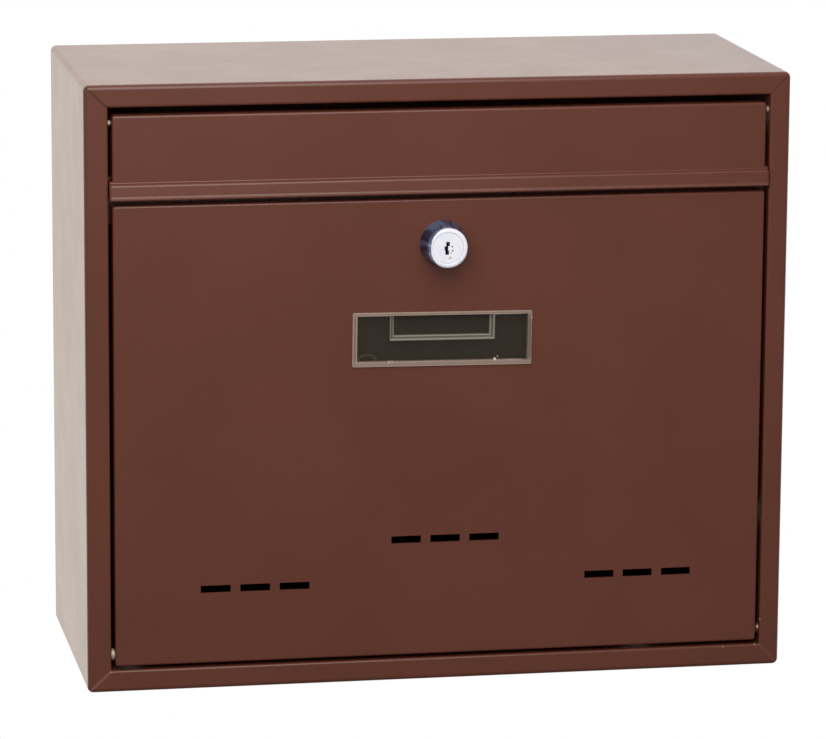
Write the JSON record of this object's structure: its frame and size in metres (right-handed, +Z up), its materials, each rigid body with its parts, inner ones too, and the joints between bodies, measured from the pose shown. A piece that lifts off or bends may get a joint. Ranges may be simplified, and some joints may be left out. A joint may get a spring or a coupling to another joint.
{
  "type": "wall mounted mailbox",
  "caption": "Folded sheet steel mailbox for a wall, with a hinged flap over the mail slot, a bottom-hinged front door, a cam lock and a clear name window.",
  "frame": {"origin": "centre of the back face, on the wall", "axes": "+X to the right seen from the front, +Y into the wall so the front faces -Y, +Z up"},
  "size_m": [0.36, 0.164, 0.31],
  "materials": {
    "powder_coat": "semi-gloss chocolate brown powder coat with a fine texture",
    "zinc_steel": "bright zinc-plated steel",
    "lock_chrome": "polished chrome plating on die-cast zinc",
    "wafer_brass": "stamped brass",
    "clear_plastic": "clear moulded plastic",
    "dark_plastic": "matt dark moulded plastic"
  },
  "bodies": {
    "cabinet": {"cabinet_shell": "powder_coat", "back_panel": "powder_coat", "cross_rail": "powder_coat", "flap_pin_left": "zinc_steel", "flap_pin_right": "zinc_steel", "door_pin_left": "zinc_steel", "door_pin_right": "zinc_steel"},
    "flap": {"flap_panel": "powder_coat"},
    "door": {"door_panel": "powder_coat", "name_window": "clear_plastic", "card_tray": "dark_plastic", "lock_housing": "lock_chrome", "tooth_washer": "zinc_steel", "lock_nut": "zinc_steel"},
    "lock": {"lock_plug": "lock_chrome", "lock_wafers": "wafer_brass", "lock_stop": "zinc_steel", "lock_cam": "zinc_steel", "cam_washer": "zinc_steel", "cam_screw": "zinc_steel"}
  },
  "joints": [
    {"name": "flap_hinge", "type": "hinge", "parent": "cabinet", "child": "flap", "pos_m": [0, -0.145, 0.13545], "axis": [-1, 0, 0], "range_deg": [0, 90]},
    {"name": "door_hinge", "type": "hinge", "parent": "cabinet", "child": "door", "pos_m": [0, -0.1455, -0.1361], "axis": [1, 0, 0], "range_deg": [0, 110]},
    {"name": "lock_turn", "type": "hinge", "parent": "door", "child": "lock", "pos_m": [0.0012, -0.15, 0.0714], "axis": [0, 1, 0], "range_deg": [0, 90]}
  ]
}
